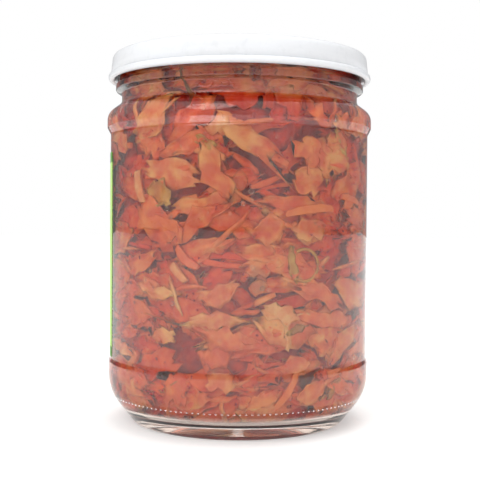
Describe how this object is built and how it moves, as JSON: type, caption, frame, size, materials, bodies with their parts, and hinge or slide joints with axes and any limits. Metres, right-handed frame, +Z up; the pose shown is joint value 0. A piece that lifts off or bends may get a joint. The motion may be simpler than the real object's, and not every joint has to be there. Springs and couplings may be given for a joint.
{
  "type": "kimchi jar",
  "caption": "Clear glass jar filled with chopped red kimchi, closed by a white twist-off lid, with a plain green paper label round its back.",
  "frame": {"origin": "centre of the jar's bearing ring, on the surface the jar stands on", "axes": "+Z up along the jar's axis; -Y is the front, where the glass is bare; the label wraps round the +Y side"},
  "size_m": [0.087, 0.087, 0.1194],
  "materials": {
    "clear_glass": "smooth clear container glass",
    "lid_enamel": "white enamel on tinplate, satin",
    "kimchi": "wet red-orange chopped cabbage in chilli brine",
    "label_paper": "light green coated paper"
  },
  "bodies": {
    "root": {"glass_jar": "clear_glass", "screw_lid": "lid_enamel", "kimchi": "kimchi", "label": "label_paper"}
  },
  "joints": []
}
